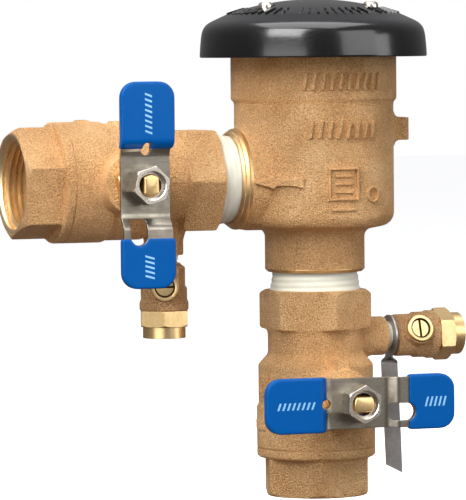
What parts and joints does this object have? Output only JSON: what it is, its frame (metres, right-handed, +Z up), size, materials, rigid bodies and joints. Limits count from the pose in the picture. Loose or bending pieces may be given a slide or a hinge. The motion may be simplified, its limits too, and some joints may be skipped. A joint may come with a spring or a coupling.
{
  "type": "pressure vacuum breaker",
  "caption": "Bronze backflow preventer with a bell canopy, a spring check and air inlet inside, lever ball valves at its inlet and outlet, and screwdriver test cocks.",
  "frame": {"origin": "centre of the inlet port at the lower ball valve's end face", "axes": "+Z up along the inlet pipe, -X out of the outlet port, -Y out of both ball valves along their stems, +X towards the inlet valve's test cock"},
  "size_m": [0.1809, 0.0936, 0.1897],
  "materials": {
    "cast_bronze": "sand-cast",
    "brass": "machined",
    "black_plastic": "glossy",
    "dark_plastic": "moulded",
    "pale_plastic": "moulded",
    "black_rubber": "moulded",
    "red_rubber": "moulded",
    "white_ptfe": "smooth",
    "white_tape": "wrapped",
    "blue_vinyl": "dipped",
    "strap_steel": "stamped",
    "bright_steel": "polished",
    "spring_steel": "drawn",
    "chromed_ball": "polished"
  },
  "bodies": {
    "assembly": {"body": "cast_bronze", "canopy": "black_plastic", "canopy_screws": "bright_steel", "bonnet": "dark_plastic", "bonnet_oring": "black_rubber", "guide_cage": "pale_plastic", "check_seat": "brass", "air_spring": "spring_steel", "check_spring": "spring_steel", "inlet_nipple": "brass", "outlet_nipple": "brass", "inlet_tape": "white_tape", "outlet_tape": "white_tape", "inlet_valve_body": "cast_bronze", "inlet_end_adapter": "cast_bronze", "inlet_ball_seats": "white_ptfe", "inlet_thrust_washer": "white_ptfe", "inlet_stem_packing": "white_ptfe", "inlet_packing_nut": "brass", "inlet_cock_body": "cast_bronze", "inlet_cock_end": "brass", "inlet_cock_seats": "white_ptfe", "inlet_cock_gland": "brass", "inlet_cock_oring": "black_rubber", "inlet_cock_tape": "white_tape", "outlet_valve_body": "cast_bronze", "outlet_end_adapter": "cast_bronze", "outlet_ball_seats": "white_ptfe", "outlet_thrust_washer": "white_ptfe", "outlet_stem_packing": "white_ptfe", "outlet_packing_nut": "brass", "outlet_cock_body": "cast_bronze", "outlet_cock_end": "brass", "outlet_cock_seats": "white_ptfe", "outlet_cock_gland": "brass", "outlet_cock_oring": "black_rubber", "outlet_cock_tape": "white_tape"},
    "inlet_shutoff": {"inlet_ball": "chromed_ball", "inlet_stem": "brass", "inlet_handle": "strap_steel", "inlet_long_grip": "blue_vinyl", "inlet_short_grip": "blue_vinyl", "inlet_handle_nut": "bright_steel"},
    "inlet_cock_plug": {"inlet_cock_ball": "chromed_ball", "inlet_cock_stem": "brass"},
    "outlet_shutoff": {"outlet_ball": "chromed_ball", "outlet_stem": "brass", "outlet_handle": "strap_steel", "outlet_long_grip": "blue_vinyl", "outlet_short_grip": "blue_vinyl", "outlet_handle_nut": "bright_steel"},
    "outlet_cock_plug": {"outlet_cock_ball": "chromed_ball", "outlet_cock_stem": "brass"},
    "air_inlet_poppet": {"air_poppet": "pale_plastic", "air_disc": "red_rubber"},
    "check_valve_poppet": {"check_poppet": "pale_plastic", "check_disc": "black_rubber", "check_retainer": "pale_plastic"},
    "hanging_strap": {"tag_strap": "strap_steel"}
  },
  "joints": [
    {"name": "inlet_handle_turn", "type": "hinge", "parent": "assembly", "child": "inlet_shutoff", "pos_m": [0, 0, 0.0381], "axis": [0, -1, 0], "range_deg": [0, 90]},
    {"name": "outlet_handle_turn", "type": "hinge", "parent": "assembly", "child": "outlet_shutoff", "pos_m": [-0.0834, 0, 0.1215], "axis": [0, -1, 0], "range_deg": [0, 90]},
    {"name": "inlet_cock_turn", "type": "hinge", "parent": "assembly", "child": "inlet_cock_plug", "pos_m": [0.0398, 0, 0.06], "axis": [0, -0.9511, 0.309], "range_deg": [0, 90]},
    {"name": "outlet_cock_turn", "type": "hinge", "parent": "assembly", "child": "outlet_cock_plug", "pos_m": [-0.0615, 0, 0.0817], "axis": [-0.3024, -0.9532, 0], "range_deg": [0, 90]},
    {"name": "air_inlet_lift", "type": "slide", "parent": "assembly", "child": "air_inlet_poppet", "axis": [0, 0, 1], "range_m": [0, 0.0059], "stiffness_N_per_m": 80, "springref_m": -0.01, "deforming": ["air_spring"]},
    {"name": "check_lift", "type": "slide", "parent": "assembly", "child": "check_valve_poppet", "axis": [0, 0, 1], "range_m": [0, 0.006], "stiffness_N_per_m": 300, "springref_m": -0.012, "deforming": ["check_spring"]},
    {"name": "strap_swing", "type": "hinge", "parent": "assembly", "child": "hanging_strap", "pos_m": [0.0305, 0, 0.06], "axis": [1, 0, 0], "range_deg": [-40, 120]}
  ]
}
